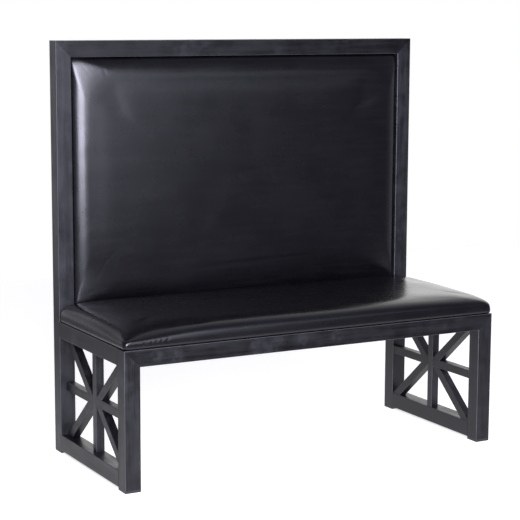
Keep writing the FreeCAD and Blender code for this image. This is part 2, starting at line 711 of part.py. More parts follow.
def build_back_tabs():
    """Build the tabs behind the back board, and the grip pads on them."""
    tabs = []
    pads = []
    for number, frame in enumerate(back_tab_frames()):
        way_x, way_z = frame[1]
        middle_x, middle_z = back_tab_spot(frame, "back_tab_reach / 2", "0")
        size_x = "back_tab_reach" if way_x else "tab_width"
        size_z = "tab_width" if way_x else "back_tab_reach"
        corner = (f"{middle_x} - {size_x} / 2", BACK_SEAT_Y, f"{middle_z} - {size_z} / 2")
        plate = block(f"back_tab_{number}", (size_x, "tab_thickness", size_z), corner)
        spot_x, spot_z = back_tab_spot(frame, "back_bolt_reach", "back_bolt_side")
        start = (spot_x, f"{BACK_SEAT_Y} + tab_thickness + cut_overrun", spot_z)
        depth = "tab_thickness + 2 * cut_overrun"
        hole = rod(f"back_tab_hole_{number}", "bolt_hole_radius", depth, start, TO_FRONT)
        tabs.append(cut_from(f"back_tab_drilled_{number}", plate, hole))
        pad_x, pad_z = back_tab_spot(frame, "back_tab_reach / 2", "-1 * back_bolt_side")
        size = ("grip_pad_size", "grip_pad_thickness", "grip_pad_size")
        pad_corner = (
            f"{pad_x} - grip_pad_size / 2", f"{BACK_SEAT_Y} + tab_thickness", f"{pad_z} - grip_pad_size / 2"
        )
        pads.append(block(f"grip_pad_{number}", size, pad_corner))
    keep("back_fixing_tabs", gathered("back_tabs_all", tabs))
    keep("outer_panel_grip_pads", gathered("grip_pads_all", pads))


def build_dust_cover():
    """Build the thin cloth under the seat board, inside the cover's edge."""
    body = new_body("seat_dust_cover_blank")
    sketch = new_sketch(body, "outline", "XY_Plane", "cover_thickness - dust_cover_thickness")
    shrink = "2 * (seat_cover_return + dust_cover_gap)"
    width, depth = SEAT_PLAN
    rounded_rectangle(sketch, "cloth", f"{width} - {shrink}", f"{depth} - {shrink}", "seat_opening_corner")
    pad(body, "cloth", sketch, "dust_cover_thickness")
    bind_place(body, SEAT_PLACE)
    holes = []
    for number, (x, y, z) in enumerate(SEAT_BOLT_SPOTS):
        start = (x, y, f"{z} - cut_overrun")
        holes.append(rod(f"dust_hole_{number}", "bolt_hole_radius", "2 * cut_overrun", start, UP))
    keep("seat_dust_cover", cut_from("seat_dust_cover_drilled", body, gathered("dust_holes", holes)))


def build_outer_panel():
    """Build the flat wrapped panel that closes the rear of the back."""
    body = new_body("back_outer_panel")
    sketch = new_sketch(body, "outline", "XY_Plane")
    width = "overall_width - 2 * tube_size - 2 * panel_margin"
    height = "overall_height - tube_size - seat_frame_height - 2 * panel_margin"
    rounded_rectangle(sketch, "panel", width, height, "panel_corner")
    sheet_feature = pad(body, "panel", sketch, "panel_thickness")
    doc.recompute()
    rounding = body.newObject("PartDesign::Fillet", "back_outer_panel_rounding")
    rounding.Base = (sheet_feature, edges_at(sheet_feature, 0))
    bind(rounding, "Radius", "panel_round")
    bind_place(body, ("0", f"{HALF_DEPTH} - panel_inset", BACK_MIDDLE), TO_FRONT)
    sub_parts.append(body)


def build_seat():
    """Build the seat pad and what fastens it to the frame."""
    build_board("seat_board", SEAT_BOARD, SEAT_BOLT_SPOTS, SEAT_PLACE, UP, "seat_nut_length")
    build_foam("seat_foam", SEAT_FORM, SEAT_BOARD, SEAT_PLACE, UP)
    build_cover("seat_cover", SEAT_FORM, "seat_cover_return", "seat_opening_corner", SEAT_PLACE, UP)
    build_dust_cover()
    build_bolts("seat_bolts", SEAT_BOLT_SPOTS, UP, "seat_bolt_length")
    build_seat_tabs()


def build_back():
    """Build the back pad, its outer panel and what fastens them."""
    spots = []
    for frame in back_tab_frames():
        spot_x, spot_z = back_tab_spot(frame, "back_bolt_reach", "back_bolt_side")
        spots.append((spot_x, BACK_SEAT_Y, spot_z))
    build_board("back_board", BACK_BOARD, spots, BACK_PLACE, TO_FRONT, "back_nut_length")
    build_foam("back_foam", BACK_FORM, BACK_BOARD, BACK_PLACE, TO_FRONT)
    build_cover("back_cover", BACK_FORM, "back_cover_return", "back_opening_corner", BACK_PLACE, TO_FRONT)
    build_bolts("back_bolts", spots, TO_FRONT, "back_bolt_length")
    build_back_tabs()
    build_outer_panel()


def check_document():
    """Stop if a feature failed, a cut took nothing away or a solid is bad."""
    for thing in doc.Objects:
        if "Invalid" in thing.State or "Error" in thing.State:
            raise RuntimeError(f"{thing.Name} failed: {thing.State}")
        if thing.TypeId in ("PartDesign::Pocket", "PartDesign::SubtractiveLoft"):
            if thing.Shape.Volume >= thing.BaseFeature.Shape.Volume:
                raise RuntimeError(f"{thing.Name} cuts nothing")
    for item in sub_parts:
        if item.Shape.isNull() or not item.Shape.isValid() or not item.Shape.Solids:
            raise RuntimeError(f"{item.Label} has no valid solid")


def write_parts():
    """Write each sub-part to a STEP file of its own name."""
    os.makedirs("parts", exist_ok=True)
    for item in sub_parts:
        item.Shape.exportStep(f"parts/{item.Label}.step")
        solids = len(item.Shape.Solids)
        print(f"{item.Label}: {solids} solid(s), {item.Shape.Volume / 1000:.1f} cm3")
    print(f"{len(sub_parts)} sub-parts")


build_frame()
build_lattices()
build_glides()
build_seat()
build_back()
doc.recompute()
check_document()
write_parts()
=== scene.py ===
"""Looks of a restaurant booth bench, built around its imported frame.

The bench is a welded frame of square tube with a latticed panel at each end,
a seat pad on the frame and a back pad let into it, both wrapped in smooth
black vinyl. Metres, +Z up, +Y to the rear, the origin in the middle of the
footprint on the floor. Left means -X, as seen by someone facing the bench.
"""
import logging
import math
from abc import ABC, abstractmethod
from dataclasses import dataclass
from enum import Enum
from functools import lru_cache

import bpy
import numpy as np
from mathutils import Matrix, Vector


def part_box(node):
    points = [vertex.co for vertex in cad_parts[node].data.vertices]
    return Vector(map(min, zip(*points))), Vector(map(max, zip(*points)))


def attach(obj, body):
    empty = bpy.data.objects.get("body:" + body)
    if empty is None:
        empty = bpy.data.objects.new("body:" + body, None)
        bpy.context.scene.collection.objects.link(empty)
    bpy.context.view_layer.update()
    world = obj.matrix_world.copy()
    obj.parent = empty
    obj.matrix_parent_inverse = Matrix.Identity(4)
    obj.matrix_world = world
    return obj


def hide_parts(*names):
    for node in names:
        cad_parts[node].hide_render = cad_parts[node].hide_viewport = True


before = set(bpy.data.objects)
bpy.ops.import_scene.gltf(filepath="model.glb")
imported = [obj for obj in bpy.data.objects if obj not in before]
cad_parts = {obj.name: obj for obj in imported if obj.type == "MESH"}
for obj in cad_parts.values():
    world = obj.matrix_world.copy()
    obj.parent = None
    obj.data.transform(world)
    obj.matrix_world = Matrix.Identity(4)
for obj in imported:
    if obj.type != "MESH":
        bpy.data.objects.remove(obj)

LOG = logging.getLogger("booth_bench")
MM = 0.001
TINY = 1e-9
ROOT = "root"
Socket = bpy.types.NodeSocket
Pair = tuple[float, float]
Triple = tuple[float, float, float]
Row = tuple[float, ...]
Sheet = dict[str, np.ndarray]
EVEN: Triple = (1.0, 1.0, 1.0)
LEVEL: Triple = (0.0, 0.0, 0.0)
WHITE: Triple = (1.0, 1.0, 1.0)
FULL_RANGE: Pair = (0.0, 1.0)


class Run(Enum):
    """The axis that a tube runs along."""

    ALONG_X = "x"
    ALONG_Y = "y"
    ALONG_Z = "z"


@dataclass(frozen=True)
class Grain:
    """A soft random pattern: features to a metre, how many finer layers it has, and their strength.

    Its limits are the values where what it draws starts and where it is full.
    """

    scale: float
    layers: float = 3.0
    strength: float = 0.55
    limits: Pair = (0.3, 0.7)


class NodeWork:
    """A tree of shader nodes, added and joined by short calls."""

    def __init__(self, tree: bpy.types.NodeTree) -> None:
        """Take over a node tree."""
        self.nodes = tree.nodes
        self.links = tree.links

    def feed(self, node: bpy.types.Node, socket: str | int, value: object) -> None:
        """Lead a value into a node's input.

        Args:
            node: The node.
            socket: The input's name or number.
            value: Another node's output, or a plain value.
        """
        if isinstance(value, Socket):
            self.links.new(value, node.inputs[socket])
        else:
            node.inputs[socket].default_value = value

    def add(self, kind: str, values: dict | None = None, **settings: object) -> bpy.types.Node:
        """Add a node.

        Args:
            kind: The node's type.
            values: What its inputs get, by name or number.
            settings: Its own properties.

        Returns:
            The new node.
        """
        node = self.nodes.new(kind)
        for name, value in settings.items():
            setattr(node, name, value)
        for socket, value in (values or {}).items():
            self.feed(node, socket, value)
        return node

    def sum(self, operation: str, *values: object) -> Socket:
        """Work out a sum of outputs and numbers with a math node's operation."""
        return self.add("ShaderNodeMath", dict(enumerate(values)), operation=operation).outputs["Value"]

    def weighed(self, *parts: tuple[Socket, float]) -> Socket:
        """Add patterns up, each times its share.

        Args:
            parts: Each pattern with its share.

        Returns:
            The total.
        """
        total = 0.0
        for pattern, share in parts:
            total = self.sum("MULTIPLY_ADD", pattern, share, total)
        return total

    def span(self, value: Socket, known: Pair, wanted: Pair = FULL_RANGE) -> Socket:
        """Carry a range of values smoothly onto another range, and hold it at both ends.

        Args:
            value: What is carried.
            known: The two values that the range lies between.
            wanted: What they turn into.

        Returns:
            The carried value.
        """
        values = {"Value": value, "From Min": known[0], "From Max": known[1]}
        values |= {"To Min": wanted[0], "To Max": wanted[1]}
        return self.add("ShaderNodeMapRange", values, interpolation_type="SMOOTHSTEP").outputs["Result"]

    def mix(self, share: Socket, low: Socket | float, high: float) -> Socket:
        """Mix two values by the share of the second one."""
        return self.add("ShaderNodeMix", {0: share, 2: low, 3: high}).outputs[0]

    def blend(self, share: Socket, low: Socket | Triple, high: Triple) -> Socket:
        """Blend two colours, the first one plain or from another node, by the share of the second."""
        first = low if isinstance(low, Socket) else (*low, 1.0)
        return self.add("ShaderNodeMix", {0: share, 6: first, 7: (*high, 1.0)}, data_type="RGBA").outputs[2]


class Material(NodeWork):
    """The nodes of one material, round its principled shader."""

    def __init__(self, name: str) -> None:
        """Start a material with a principled shader and its output.

        Args:
            name: The finish's name in a maker's plain words.
        """
        self.block = bpy.data.materials.new(name)
        self.block.use_nodes = True
        super().__init__(self.block.node_tree)
        self.nodes.clear()
        self.shader = self.add("ShaderNodeBsdfPrincipled")
        self.add("ShaderNodeOutputMaterial", {"Surface": self.shader.outputs["BSDF"]})
        coordinates = self.add("ShaderNodeTexCoord")
        self.place = coordinates.outputs["Object"]
        self.facing = coordinates.outputs["Normal"]

    def give(self, socket: str, value: object) -> None:
        """Lead a value into the shader."""
        self.feed(self.shader, socket, value)

    def mapped(self, scale: Triple = EVEN, turn: Triple = LEVEL) -> Socket:
        """Stretch the object's own coordinates by a scale and turn them, in radians, about each axis."""
        values = {"Vector": self.place, "Scale": scale, "Rotation": turn}
        return self.add("ShaderNodeMapping", values).outputs["Vector"]

    def noise(self, place: Socket, grain: Grain) -> Socket:
        """Give a grain's soft noise, about one half, over some coordinates."""
        values = {"Vector": place, "Scale": grain.scale, "Detail": grain.layers, "Roughness": grain.strength}
        return self.add("ShaderNodeTexNoise", values).outputs["Fac"]

    def pattern(self, place: Socket, grain: Grain, wanted: Pair = FULL_RANGE) -> Socket:
        """Give a grain's noise, carried from its limits onto another range."""
        return self.span(self.noise(place, grain), grain.limits, wanted)

    def bump(self, height: Socket, depth: float, strength: float) -> None:
        """Raise the surface by a pattern: one unit is this deep, in metres, and so much of it counts."""
        node = self.add("ShaderNodeBump", {"Height": height, "Distance": depth, "Strength": strength})
        self.give("Normal", node.outputs["Normal"])


@dataclass(frozen=True)
class CoatedSteel:
    """Charcoal satin coating on steel tube: cloudy, brushed lengthwise, with a painted highlight on its
    corners.

    Its painted light level makes each kind of tube a lighter or darker copy of the coating, painted light
    and shade, and also scales its gloss. Shares say how much of a pattern or a colour is added, and limits
    are the values where it starts and is full.
    """

    run: Run
    # Painted light and shade: scales the coating's colours lighter or darker for each kind of tube, and its
    # gloss.
    shade: float
    tilt: float = 0.0
    dark: Triple = (0.0025, 0.0025, 0.003)
    light: Triple = (0.0165, 0.0165, 0.019)
    gloss: float = 0.15
    gloss_by_shade: float = 0.19
    roughness: Pair = (0.33, 0.50)
    streak_stretch: float = 0.04
    fine_streaks: Grain = Grain(330.0, 3.0, 0.6)
    broad_streaks: Grain = Grain(75.0, 3.0, 0.6)
    clouds: Grain = Grain(16.0, 5.0, 0.65)
    tone_shares: Triple = (0.25, 0.35, 0.4)
    tone_limits: Pair = (0.36, 0.64)
    patch: Triple = (0.05, 0.05, 0.056)
    patch_share: float = 0.4
    patches: Grain = Grain(7.0, 5.0, 0.62, (0.54, 0.74))
    mottle: Grain = Grain(60.0, 4.0, 0.6, (0.38, 0.62))
    mark_reach: Pair = (0.006, 0.030)
    mark_strength: float = 0.6
    # Painted highlight on the rounded corners: this lighter colour and its share stand in for a lamp's
    # glint; the metallic share there adds a real reflection.
    worn: Triple = (0.18, 0.18, 0.195)
    worn_share: float = 0.5
    bare_share: float = 0.4
    corner_limits: Pair = (0.93, 0.80)
    peel: Grain = Grain(900.0, 2.0)
    streak_relief: float = 0.7
    relief: float = 0.00006
    relief_strength: float = 0.35
    marks: tuple[Triple, ...] = (
        (-0.592, 0.213, 1.205), (-0.512, -0.261, 0.378), (-0.455, -0.261, 0.372), (-0.209, -0.261, 0.377),
        (-0.057, -0.261, 0.378), (0.060, -0.261, 0.381), (0.574, 0.213, 0.475),
    )

    def rubbed(self, coat: Material) -> Socket:
        """Work out where the coating is rubbed lighter: loose patches, and marks left by handling.

        Args:
            coat: The coating's nodes.

        Returns:
            How rubbed each place is, from zero to one.
        """
        plain = coat.mapped()
        rubbed = coat.pattern(plain, self.patches)
        mottle = coat.pattern(plain, self.mottle)
        for mark in self.marks:
            away = coat.add("ShaderNodeVectorMath", {0: coat.place, 1: mark}, operation="DISTANCE")
            near = coat.span(away.outputs["Value"], self.mark_reach, (self.mark_strength, 0.0))
            rubbed = coat.sum("MAXIMUM", rubbed, coat.sum("MULTIPLY", near, mottle))
        return rubbed

    def corner(self, coat: Material) -> Socket:
        """Find the tube's rounded corners: there the surface faces between two of its sides.

        Args:
            coat: The coating's nodes.

        Returns:
            How much each place belongs to a corner, from zero to one.
        """
        turned = {"Vector": coat.facing, "Rotation": (self.tilt, 0.0, 0.0)}
        facing = coat.add("ShaderNodeMapping", turned, vector_type="NORMAL").outputs["Vector"]
        size = coat.add("ShaderNodeVectorMath", {0: facing}, operation="ABSOLUTE").outputs["Vector"]
        axes = coat.add("ShaderNodeSeparateXYZ", {0: size}).outputs
        most = coat.sum("MAXIMUM", coat.sum("MAXIMUM", axes["X"], axes["Y"]), axes["Z"])
        return coat.span(most, self.corner_limits)

    @lru_cache
    def material(self) -> bpy.types.Material:
        """Build the coating: streaks along the tube, clouds, rubbed patches, painted corner highlights,
        painted light and shade for the tube's kind, and orange peel.

        Returns:
            The material.
        """
        # Each painted light level gets its own copy of the coating.
        coat = Material(f"coated_steel_{self.run.value}_{round(math.degrees(self.tilt))}_{self.shade}")
        stretch = tuple(self.streak_stretch if axis is self.run else 1.0 for axis in Run)
        along = coat.mapped(stretch, (self.tilt, 0.0, 0.0))
        fine = coat.noise(along, self.fine_streaks)
        broad = coat.noise(along, self.broad_streaks)
        clouds = coat.noise(coat.mapped(), self.clouds)
        tone = coat.weighed(*zip((fine, broad, clouds), self.tone_shares))
        # Painted light and shade: both colours are scaled lighter or darker by this tube kind's painted
        # light level.
        dark, light = (tuple(self.shade * part for part in colour) for colour in (self.dark, self.light))
        base = coat.blend(coat.span(tone, self.tone_limits), dark, light)
        base = coat.blend(coat.sum("MULTIPLY", self.rubbed(coat), self.patch_share), base, self.patch)
        corner = self.corner(coat)
        # Painted highlight: the corners get a lighter colour, and some real metallic reflection below.
        coat.give("Base Color", coat.blend(coat.sum("MULTIPLY", corner, self.worn_share), base, self.worn))
        coat.give("Metallic", coat.sum("MULTIPLY", corner, self.bare_share))
        coat.give("Roughness", coat.span(tone, self.tone_limits, self.roughness))
        coat.give("Specular IOR Level", self.gloss + self.gloss_by_shade * self.shade)
        peel = coat.noise(coat.mapped(), self.peel)
        coat.bump(coat.weighed((peel, 1.0), (fine, self.streak_relief)), self.relief, self.relief_strength)
        return coat.block


@dataclass(frozen=True)
class BlackVinyl:
    """Smooth black upholstery vinyl with a fine leather grain, faint rubbed streaks and short scuffs."""

    name: str = "smooth_black_vinyl"
    base: Triple = (0.0016, 0.0016, 0.0021)
    rubbed: Triple = (0.0034, 0.0034, 0.0044)
    gloss: float = 0.5
    roughness: Pair = (0.25, 0.295)
    wear: Grain = Grain(9.0, 4.0, 0.6)
    rubs: Grain = Grain(55.0, limits=(0.40, 0.72))
    rub_stretch: Triple = (0.12, 1.0, 1.4)
    rub_share: float = 0.8
    scuffs: Grain = Grain(170.0, 2.0, 0.5, (0.60, 0.70))
    scuff_stretch: Triple = (0.10, 1.0, 1.0)
    scuff_turn: Triple = (0.0, math.radians(38.0), math.radians(8.0))
    scuff_share: float = 1.2
    spots: Grain = Grain(14.0, 2.0, limits=(0.5, 0.66))
    pebble_scale: float = 620.0
    pebble_limits: Pair = (0.0, 0.22)
    relief: float = 0.00010
    relief_strength: float = 0.05

    @lru_cache
    def material(self) -> bpy.types.Material:
        """Build the vinyl: rubs and scuffs lighten it, wear dulls it, and pebbles and scuffs raise it.

        Returns:
            The material.
        """
        vinyl = Material(self.name)
        plain = vinyl.mapped()
        rubs = vinyl.pattern(vinyl.mapped(self.rub_stretch), self.rubs)
        scuffs = vinyl.pattern(vinyl.mapped(self.scuff_stretch, self.scuff_turn), self.scuffs)
        scuffs = vinyl.sum("MULTIPLY", scuffs, vinyl.pattern(plain, self.spots))
        tone = vinyl.weighed((rubs, self.rub_share), (scuffs, self.scuff_share))
        vinyl.give("Base Color", vinyl.blend(tone, self.base, self.rubbed))
        vinyl.give("Specular IOR Level", self.gloss)
        vinyl.give("Roughness", vinyl.pattern(plain, self.wear, self.roughness))
        cells = {"Vector": plain, "Scale": self.pebble_scale}
        pebble = vinyl.add("ShaderNodeTexVoronoi", cells, feature="DISTANCE_TO_EDGE").outputs["Distance"]
        grain = vinyl.sum("ADD", vinyl.span(pebble, self.pebble_limits), scuffs)
        vinyl.bump(grain, self.relief, self.relief_strength)
        return vinyl.block


@dataclass(frozen=True)
class PlainFinish:
    """An even finish with a light cloudiness, for what is little seen."""

    name: str
    dark: Triple
    light: Triple
    scale: float
    roughness: float
    stretch: Triple = EVEN
    metallic: float = 0.0
    relief: float = 0.0002
    relief_strength: float = 0.4
    layers: float = 5.0
    layer_strength: float = 0.6
    uneven: float = 0.08

    @lru_cache
    def material(self) -> bpy.types.Material:
        """Build the finish from one noise that colours, dulls and raises it.

        Returns:
            The material.
        """
        finish = Material(self.name)
        grain = Grain(self.scale, self.layers, self.layer_strength)
        noise = finish.noise(finish.mapped(self.stretch), grain)
        finish.give("Base Color", finish.blend(finish.span(noise, grain.limits), self.dark, self.light))
        dulled = (self.roughness - self.uneven, self.roughness + self.uneven)
        finish.give("Roughness", finish.span(noise, grain.limits, dulled))
        finish.give("Metallic", self.metallic)
        finish.bump(noise, self.relief, self.relief_strength)
        return finish.block


PLYWOOD = PlainFinish("birch_plywood", (0.42, 0.27, 0.14), (0.62, 0.44, 0.26), 60.0, 0.6, (0.08, 1.0, 1.0))
CUT_FOAM = PlainFinish("cut_foam", (0.62, 0.56, 0.38), (0.74, 0.68, 0.50), 420.0, 0.9, relief=0.0006)
ZINC = PlainFinish("bright_zinc", (0.45, 0.45, 0.44), (0.66, 0.66, 0.64), 90.0, 0.32, metallic=1.0)
GLIDE_PLASTIC = PlainFinish("moulded_glide", (0.010, 0.010, 0.011), (0.022, 0.022, 0.024), 240.0, 0.5)
DUST_CLOTH = PlainFinish(
    "woven_dust_cloth", (0.008, 0.008, 0.009), (0.030, 0.030, 0.032), 700.0, 0.9, relief=0.0004
)
GRIP_PAD = PlainFinish(
    "hooked_grip_pad", (0.010, 0.010, 0.010), (0.040, 0.040, 0.040), 900.0, 0.92, relief=0.0008
)


def placed(name: str, data: bpy.types.ID) -> bpy.types.Object:
    """Put a new object into the scene.

    Args:
        name: The object's name.
        data: Its mesh, lamp or lens.

    Returns:
        The object.
    """
    item = bpy.data.objects.new(name, data)
    bpy.context.scene.collection.objects.link(item)
    return item


@dataclass(frozen=True)
class PhotoCamera:
    """The camera's place and lens, found from the frame's corners in the picture."""

    place: Triple = (-2.33985, -4.21817, 1.31317)
    yaw: float = 0.49669
    pitch: float = 0.15302
    roll: float = 0.00398
    focal_pixels: float = 1632.098
    picture_pixels: float = 520.0
    sensor: float = 36.0
    sight: float = 200.0

    def build(self) -> list[bpy.types.Object]:
        """Make the camera: it looks along its yaw, tipped down by its pitch and turned by its roll.

        Returns:
            The camera, set as the scene's own.
        """
        ahead = Vector((math.sin(self.yaw), math.cos(self.yaw), 0.0))
        side = Vector((math.cos(self.yaw), -math.sin(self.yaw), 0.0))
        rise = Vector((0.0, 0.0, 1.0))
        forward = math.cos(self.pitch) * ahead - math.sin(self.pitch) * rise
        upward = math.sin(self.pitch) * ahead + math.cos(self.pitch) * rise
        right = math.cos(self.roll) * side + math.sin(self.roll) * upward
        top = math.cos(self.roll) * upward - math.sin(self.roll) * side
        turn = Matrix((right, top, -forward)).transposed()
        lens = bpy.data.cameras.new("photo_camera")
        lens.sensor_width = self.sensor
        lens.lens = self.focal_pixels * self.sensor / self.picture_pixels
        lens.clip_end = self.sight
        camera = placed("photo_camera", lens)
        camera.matrix_world = Matrix.Translation(Vector(self.place)) @ turn.to_4x4()
        bpy.context.scene.camera = camera
        return [camera]


@dataclass(frozen=True)
class Softbox:
    """A flat rectangular lamp that faces a point and doesn't show itself."""

    name: str
    place: Triple
    target: Triple
    width: float
    height: float
    power: float
    colour: Triple = (0.95, 0.95, 1.15)

    def build(self) -> bpy.types.Object:
        """Hang the lamp and aim it.

        Returns:
            The lamp.
        """
        lamp = bpy.data.lights.new(self.name, "AREA")
        lamp.shape = "RECTANGLE"
        lamp.size = self.width
        lamp.size_y = self.height
        lamp.energy = self.power
        lamp.color = self.colour
        body = placed(self.name, lamp)
        place = Vector(self.place)
        turn = (Vector(self.target) - place).to_track_quat("-Z", "Y").to_matrix()
        body.matrix_world = Matrix.Translation(place) @ turn.to_4x4()
        body.visible_camera = False
        return body


@dataclass(frozen=True)
class Studio:
    """A plain pale floor and backdrop in a dim room, with five softboxes in front of the bench.

    The floor's and the backdrop's white is what the picture shows. What the
    bench mirrors and is lit by is dimmer, as in a dark studio: a pool of
    light round the bench that fades with the distance from it.
    """

    floor_near: float = -1.2
    floor_far: float = 3.2
    floor_side: float = 3.2
    floor_paint: Pair = (0.31, 0.80)
    floor_glow: float = 0.62
    floor_roughness: float = 0.9
    floor_gloss: float = 0.1
    pool_glow: Pair = (0.80, 0.02)
    pool_reach: Pair = (0.9, 2.3)
    backdrop: float = 1.0
    room_light: Pair = (0.15, 1.65)
    light_limits: Pair = (-0.6, 1.4)
    front_colour: Triple = (0.93, 0.94, 1.24)
    colour_limits: Pair = (-0.35, 0.5)
    right_share: float = 1.75
    right_least: float = 0.2
    ceiling_share: float = 0.75
    softboxes: tuple[Softbox, ...] = (
        Softbox("main_softbox", (-1.60, -2.9, 1.35), (-0.5, 0.2, 1.0), 1.25, 1.65, 170.0),
        Softbox("middle_panel", (-0.50, -2.9, 1.75), (-0.45, 0.2, 1.0), 1.0, 1.70, 40.0),
        Softbox("upper_panel", (-0.25, -2.9, 2.30), (-0.45, 0.2, 1.1), 1.1, 1.0, 22.0),
        Softbox("low_strip", (1.40, -2.9, 1.45), (0.0, -0.2, 0.4), 1.4, 0.4, 1.8),
        Softbox("right_panel", (0.50, -2.9, 1.40), (0.3, 0.2, 0.9), 1.0, 2.1, 14.0),
    )

    def sky(self) -> bpy.types.World:
        """Light the room: white behind the bench, dim in front of it, and a white backdrop in the picture.

        A direction's light follows Y + X (1.75 Y + 0.2) + Z (X - 0.75), with
        nothing taken for Y in the bracket or for Z where they are negative.
        So it is brightest low at the rear right, and the ceiling is dim.

        Returns:
            The world.
        """
        world = bpy.data.worlds.new("studio_room")
        world.use_nodes = True
        room = NodeWork(world.node_tree)
        direction = room.add("ShaderNodeTexCoord").outputs["Generated"]
        side, rear, above = room.add("ShaderNodeSeparateXYZ", {0: direction}).outputs
        rearward = room.sum("MAXIMUM", rear, 0.0)
        to_right = room.sum("MULTIPLY_ADD", rearward, self.right_share, self.right_least)
        from_left = room.sum("SUBTRACT", side, self.ceiling_share)
        ceiling = room.sum("MULTIPLY", room.sum("MAXIMUM", above, 0.0), from_left)
        turned = room.sum("ADD", room.sum("MULTIPLY_ADD", side, to_right, rear), ceiling)
        seen = room.add("ShaderNodeLightPath").outputs["Is Camera Ray"]
        light = room.span(turned, self.light_limits, self.room_light)
        first, last = self.colour_limits
        white_share = room.sum("DIVIDE", room.sum("SUBTRACT", turned, first), last - first)
        tint = room.blend(white_share, self.front_colour, WHITE)
        background = room.nodes["Background"]
        room.feed(background, "Strength", room.mix(seen, light, self.backdrop))
        room.feed(background, "Color", room.blend(seen, tint, WHITE))
        return world

    def floor_finish(self) -> bpy.types.Material:
        """Paint the floor: evenly pale in the picture, and a fading pool of light in what mirrors it.

        Returns:
            The material.
        """
        paint = Material("pale_floor")
        seen = paint.add("ShaderNodeLightPath").outputs["Is Camera Ray"]
        away = paint.add("ShaderNodeVectorMath", {0: paint.place}, operation="LENGTH").outputs["Value"]
        pool = paint.span(away, self.pool_reach, self.pool_glow)
        paint.give("Base Color", paint.mix(seen, *self.floor_paint))
        paint.give("Emission Color", (*WHITE, 1.0))
        paint.give("Emission Strength", paint.mix(seen, pool, self.floor_glow))
        paint.give("Roughness", self.floor_roughness)
        paint.give("Specular IOR Level", self.floor_gloss)
        return paint.block

    def build(self) -> list[bpy.types.Object]:
        """Light the room, lay the floor and hang the softboxes.

        Returns:
            The floor and the lamps.
        """
        bpy.context.scene.view_settings.view_transform = "Standard"
        bpy.context.scene.world = self.sky()
        mesh = bpy.data.meshes.new("floor")
        side, near, far = self.floor_side, self.floor_near, self.floor_far
        corners = [(-side, near, 0), (side, near, 0), (side, far, 0), (-side, far, 0)]
        mesh.from_pydata(corners, [], [(0, 1, 2, 3)])
        mesh.materials.append(self.floor_finish())
        floor = placed("floor", mesh)
        return [floor, *(softbox.build() for softbox in self.softboxes)]


def grid_faces(number: np.ndarray) -> np.ndarray:
    """Give the four corners of each face of a grid, from the grid of its points' numbers."""
    corners = (number[:-1, :-1], number[1:, :-1], number[1:, 1:], number[:-1, 1:])
    return np.stack(corners, axis=-1).reshape(-1, 4)


def eased(at: np.ndarray, known: np.ndarray, values: np.ndarray) -> np.ndarray:
    """Draw a smooth curve through a table without overshooting it.

    Between two rows the curve is a cubic. Its slope at a row is the harmonic
    mean of the slopes on both sides, or zero where they differ in sign.

    Args:
        at: Where the curve is wanted.
        known: The table's places, rising.
        values: The table's values.

    Returns:
        The curve's values.
    """
    step = np.diff(known)
    slope = np.diff(values) / step
    same = slope[:-1] * slope[1:] > 0
    total = np.where(same, slope[:-1] + slope[1:], 1.0)
    mean = np.where(same, 2.0 * slope[:-1] * slope[1:] / total, 0.0)
    tangent = np.concatenate(([slope[0]], mean, [slope[-1]]))
    row = np.clip(np.searchsorted(known, at, side="right") - 1, 0, len(step) - 1)
    share = (at - known[row]) / step[row]
    square, cube = share**2, share**3
    return (
        (2 * cube - 3 * square + 1) * values[row]
        + (cube - 2 * square + share) * step[row] * tangent[row]
        + (3 * square - 2 * cube) * values[row + 1]
        + (cube - square) * step[row] * tangent[row + 1]
    )


@dataclass(frozen=True)
class PadSection:
    """A pad's section from its hem to where the crown is flat, as tables that run up the sheet.

    Rises are shares of the thickness. Insets from the outline, and those at
    the low edge, are shares of the run. Draws, the radii of the corners, are
    shares of the draw. At the high edge the insets count by the high share.
    """

    run: float
    hem: float
    draw: float
    high_share: float
    rises: Row
    insets: Row
    low_insets: Row
    draws: Row
    fine_steps: int = 800
    hem_steps: int = 40

    def curves(self, thickness: float) -> tuple[np.ndarray, ...]:
        """Work out the section.

        The hem runs outwards at height zero. From there the section follows
        the tables as a smooth curve of the length along their own chords.

        Args:
            thickness: The pad's thickness.

        Returns:
            Length along the sheet, inset from the outline at the sides and at
            the low edge, height and corner radius.
        """
        inset = np.array(self.insets) * self.run
        low = np.array(self.low_insets) * self.run
        height = np.array(self.rises) * thickness
        radius = np.array(self.draws) * self.draw
        chord = np.concatenate(([0.0], np.cumsum(np.hypot(np.diff(inset), np.diff(height)))))
        fine = np.linspace(0.0, chord[-1], self.fine_steps)
        inset, low, height, radius = (eased(fine, chord, values) for values in (inset, low, height, radius))
        hem = np.linspace(self.hem, inset[0], self.hem_steps)[:-1]
        inset = np.concatenate((hem, inset))
        low = np.concatenate((hem, low))
        height = np.concatenate((np.zeros_like(hem), height))
        radius = np.concatenate((np.full_like(hem, radius[0]), radius))
        length = np.concatenate(([0.0], np.cumsum(np.hypot(np.diff(inset), np.diff(height)))))
        return length, inset, low, height, radius


